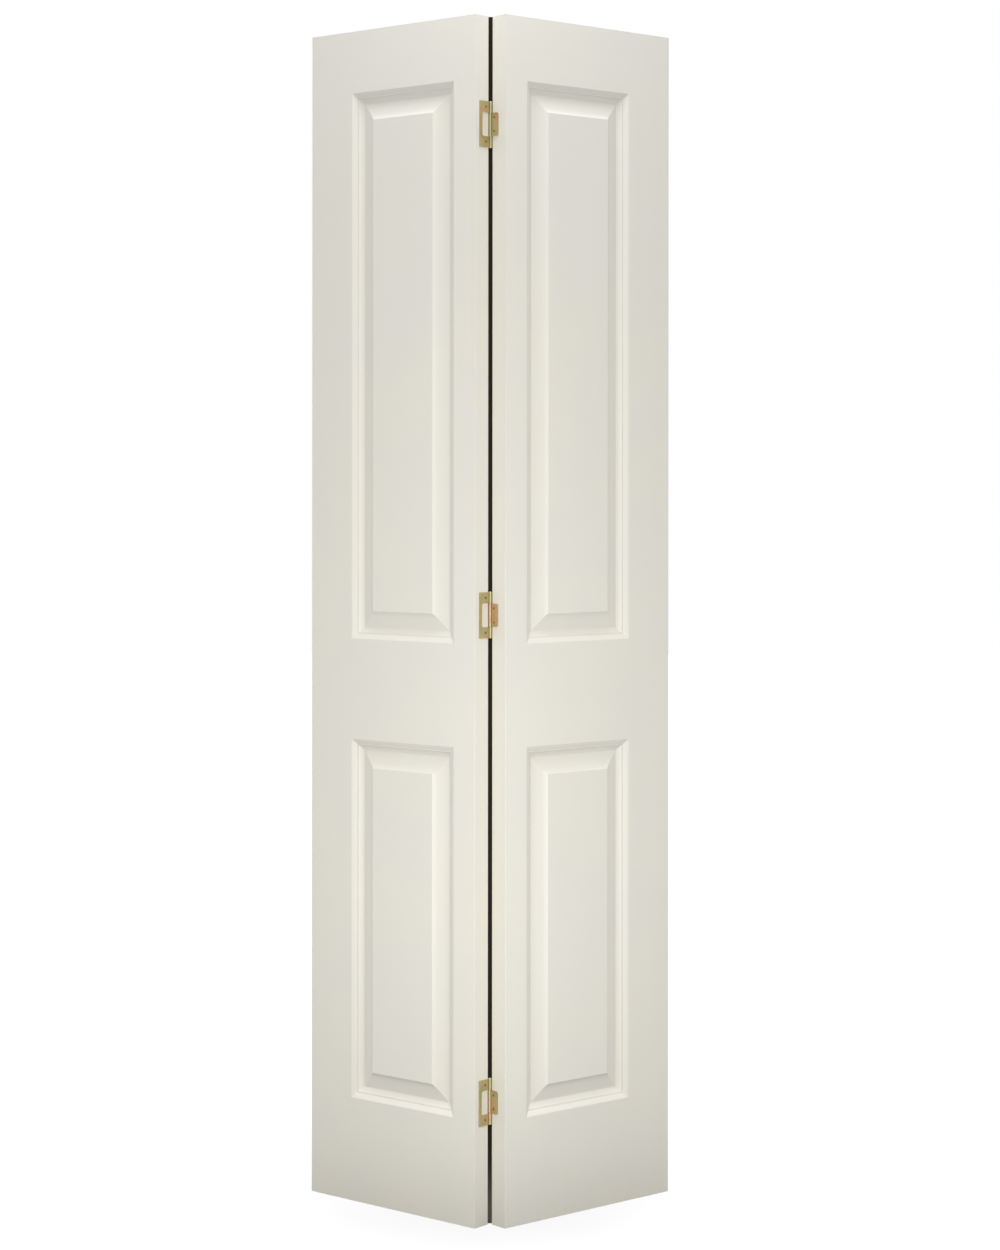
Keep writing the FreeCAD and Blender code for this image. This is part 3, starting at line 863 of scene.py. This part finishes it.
def screws():
    model, tree = screwModel(), screwRow()
    headTop = leaf["start"] - plate["thickness"] - screw["proud"]
    for side, (inset, rise) in (("left", plate["frameHoles"]), ("right", plate["smallHoles"])):
        mesh = bpy.data.meshes.new(side + "_screws")
        mesh.from_pydata([(headTop, -setback - inset, level + way * rise)
                          for level in levels.values() for way in (-1, 1)], [], [])
        thing = newObject(side + "_screws", mesh)
        modifier = thing.modifiers.new("screws", "NODES")
        modifier.node_group = tree
        setInputs(modifier, {"Screw": model, "Spin": math.pi / 2, "Seed": screw["spinSeed"] + sideOf[side],
                             "Finish": finishes["screw"]})
        stood(dressed(plain(thing), screw["creaseAngle"]), sideOf[side])
        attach(thing, side + "_leaf")
        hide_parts(side + "_hinge_screws")
    bpy.data.objects.remove(model)


screws()
print("screws made: 12")


# pins
pin = {
    "radius": 1.25 * mm, "headRadius": 2.1 * mm, "domeHeight": 0.7 * mm, "proud": 0.5 * mm,
    "headUnder": 0.05 * mm, "domeUnder": 0.1 * mm,        # above the knuckle
    "tipRadius": 0.7, "tipStart": 0.6,                    # shares of the radius and of what stands proud
    "steps": 36, "domeSteps": 6, "creaseAngle": math.radians(35),
}


def pins():
    reach = plate["frameHeight"] / 2
    head, tail, proud = pin["headRadius"], pin["radius"], pin["proud"]
    under, dome = reach + pin["headUnder"], reach + pin["domeUnder"]
    angles = [math.pi / 2 * k / pin["domeSteps"] for k in range(pin["domeSteps"])]
    profile = [(0, -reach - proud), (tail * pin["tipRadius"], -reach - proud),
               (tail, -reach - proud * pin["tipStart"]), (tail, under), (head, under)]
    profile += [(head * math.cos(angle), dome + pin["domeHeight"] * math.sin(angle)) for angle in angles]
    profile += [(0, dome + pin["domeHeight"])]
    for place, level in levels.items():
        body = bmesh.new()
        lathe(body, profile, pin["steps"])
        upright = Matrix.Translation((pinPlace.x, pinPlace.y, level)) @ Matrix.Rotation(math.pi / 2, 4, "Y")
        bmesh.ops.transform(body, matrix=upright, verts=body.verts)
        thing = dressed(meshed(body, place + "_pin"), pin["creaseAngle"])
        thing.data.materials.append(finishes["pin"])
        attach(thing, "left_leaf")
        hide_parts(place + "_hinge_pin")


pins()
print("pins made: 3")


# timber and paper keep their own solids
kept = {
    "outer_stile": "timber", "meeting_stile": "timber", "top_rail": "timber", "mid_rail": "timber",
    "bottom_rail": "timber", "upper_core": "paper", "lower_core": "paper",
}
for side in sideOf:
    for piece, stuff in kept.items():
        mesh = frame["nodes"][f"{side}_{piece}"].data
        mesh.materials.clear()
        mesh.materials.append(finishes[side if stuff == "timber" else stuff])
print("timber and cores dressed")


# stage, light and camera
stage = {
    "floorSize": 30.0, "floorColour": (0.34, 0.34, 0.34, 1), "floorShade": (0.03, 0.03, 0.03, 1),
    "floorRange": (0.1, 0.85), "floorDrift": 0.1, "floorNoise": (3.0,),
    "glow": 0.90, "worldGlow": 0.862,
    "gapWidth": 9.0 * mm, "gapBehind": 4.6 * mm, "gapAbove": 1 * mm,
    # painted shade behind the gap, and painted floor light at its foot
    "gapPaintedShade": (0.024, 0.021, 0.015, 1), "gapFootPaintedLight": (0.105, 0.100, 0.083, 1), "gapFootPaintedLightRange": (0.0, 0.13),
}
lamps = {                                                 # where, what it faces, size, watts
    "low": ((0.0, -1.0, 0.5), (0, 0, 0.5), (1.2, 0.6), 4.4),
    "front": ((0.0, -1.0, 1.3), (0, 0, 1.1), (0.5, 0.5), 1.7),
    "high": ((0.0, -0.8, 3.0), (0, -0.3, 1.2), (1.2, 0.6), 5.5),
    "above": ((0.0, -0.35, 2.6), (0, -0.13, 1.8), (0.4, 0.3), 3.1),
}


def sheetObject(name, corners, material):
    mesh = bpy.data.meshes.new(name)
    mesh.from_pydata(corners, [], [tuple(range(len(corners)))])
    mesh.materials.append(material)
    thing = newObject(name, mesh)
    return thing


def seenWhite(graph):                                     # 1 for what looks at it, 0 for its light
    camera = graph.node("ShaderNodeLightPath", None, None, "Is Camera Ray")
    mirrored = graph.maths("MAXIMUM", camera, camera.out("Is Glossy Ray"))
    return graph.maths("MAXIMUM", mirrored, camera.out("Is Transmission Ray"))


def paleFloor():                                          # white where the camera sees it bare
    material, graph = surface("paleFloor")
    place = objectPlace(graph)
    away = graph.node("ShaderNodeVectorMath", {"operation": "LENGTH"}, {0: place}, "Value")
    drift = stage["floorDrift"] * graph.noise(place, *stage["floorNoise"])
    pale = graph.soft(away + drift, *stage["floorRange"])
    colour = graph.blend(pale, stage["floorShade"], stage["floorColour"])
    diffuse = graph.node("ShaderNodeBsdfDiffuse", None, {"Color": colour})
    strength = seenWhite(graph) * stage["glow"]
    glow = graph.node("ShaderNodeEmission", None, {"Color": (1, 1, 1, 1), "Strength": strength})
    both = graph.node("ShaderNodeAddShader", None, {0: diffuse, 1: glow})
    graph.node("ShaderNodeOutputMaterial", None, {"Surface": both})
    half = stage["floorSize"] / 2
    sheetObject("floor", [(-half, -half, 0), (half, -half, 0), (half, half, 0), (-half, half, 0)], material)


def gapShade():                                           # painted shade: a dark one-sided card behind the gap, lighter at its foot with painted floor light
    material, graph = surface("gapShade")
    seen = graph.node("ShaderNodeLightPath", None, None, "Is Camera Ray")
    behind = graph.node("ShaderNodeNewGeometry", None, None, "Backfacing")
    # painted floor light, lighter towards the foot
    risen = graph.soft(graph.part(objectPlace(graph), "Z"), *stage["gapFootPaintedLightRange"])
    colour = graph.blend(risen, stage["gapFootPaintedLight"], stage["gapPaintedShade"])
    shade = graph.node("ShaderNodeBsdfDiffuse", None, {"Color": colour})
    nothing = graph.node("ShaderNodeBsdfTransparent")
    mixed = graph.node("ShaderNodeMixShader", None, {0: seen * (1 - behind), 1: nothing, 2: shade})
    graph.node("ShaderNodeOutputMaterial", None, {"Surface": mixed})
    half, y = stage["gapWidth"] / 2, pinPlace.y + stage["gapBehind"]
    high = leaf["height"] + stage["gapAbove"]
    sheetObject("gap_shade", [(-half, y, 0), (half, y, 0), (half, y, high), (-half, y, high)], material)


def lamp(name, place, aim, size, power):
    light = bpy.data.lights.new(name, "AREA")
    light.shape, light.size, light.size_y = "RECTANGLE", *size
    light.energy = power
    made = newObject(name, light)
    made.visible_camera = False
    made.location = place
    made.rotation_euler = (Vector(aim) - Vector(place)).to_track_quat("-Z", "Y").to_euler()


def whiteWorld():
    world = bpy.data.worlds.new("studio")
    bpy.context.scene.world = world
    world.use_nodes = True
    world.node_tree.nodes.clear()
    graph = Graph(world.node_tree)
    seen = seenWhite(graph)
    strength = seen + (1 - seen) * stage["worldGlow"]
    sky = graph.node("ShaderNodeBackground", None, {"Color": (1, 1, 1, 1), "Strength": strength})
    graph.node("ShaderNodeOutputWorld", None, {"Surface": sky})


view = {
    "distance": 4.553, "height": 1.2335, "aside": 0.0002, "focalPixels": 2738.0,
    "axisPixel": (490.4, 482.27), "picture": (1000, 1250), "sensor": 36.0, "roll": -0.0007,
    "clipEnd": 100,
}


def camera():
    lens = bpy.data.cameras.new("camera")
    width, height = view["picture"]
    lens.sensor_width = view["sensor"]
    lens.lens = view["focalPixels"] * view["sensor"] / height
    lens.shift_x = (width / 2 - view["axisPixel"][0]) / height
    lens.shift_y = (view["axisPixel"][1] - height / 2) / height
    lens.clip_end = view["clipEnd"]
    made = newObject("camera", lens)
    made.location = (view["aside"], pinPlace.y - view["distance"], view["height"])
    made.rotation_euler = (math.pi / 2, view["roll"], 0)
    bpy.context.scene.camera = made


paleFloor()
gapShade()
whiteWorld()
for name, settings in lamps.items():
    lamp(name, *settings)
camera()
scene = bpy.context.scene
scene.view_settings.view_transform = "Standard"
print("stage, light and camera set")
